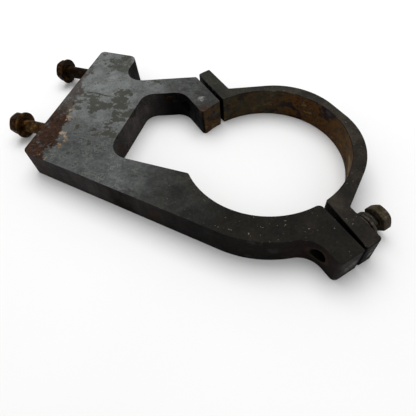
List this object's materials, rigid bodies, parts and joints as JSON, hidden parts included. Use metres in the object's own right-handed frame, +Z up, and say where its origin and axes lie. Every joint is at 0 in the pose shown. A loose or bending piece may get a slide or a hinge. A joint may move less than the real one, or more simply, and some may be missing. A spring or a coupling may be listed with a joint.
{
  "type": "boom cylinder bracket",
  "caption": "Thick plate bracket with a split ring clamp for a cylinder tube, an open pocket beside it, and hex bolts for the clamp and the mounting edge.",
  "frame": {"origin": "bore axis at the plate's bottom face", "axes": "+Z up along the bore axis, +X from the mounting edge toward the ring, +Y along the mounting edge toward the lug"},
  "size_m": [0.3563, 0.1785, 0.028],
  "materials": {
    "plate_steel": "worn grey paint with dust and rust",
    "bolt_steel": "rusted"
  },
  "bodies": {
    "root": {"bracket_body": "plate_steel", "clamp_cap": "plate_steel", "clamp_bolt": "bolt_steel", "clamp_flat_washer": "bolt_steel", "clamp_spring_washer": "bolt_steel", "upper_mount_bolt": "bolt_steel", "upper_mount_flat_washer": "bolt_steel", "lower_mount_bolt": "bolt_steel", "lower_mount_flat_washer": "bolt_steel", "lower_mount_spring_washer": "bolt_steel"}
  },
  "joints": []
}
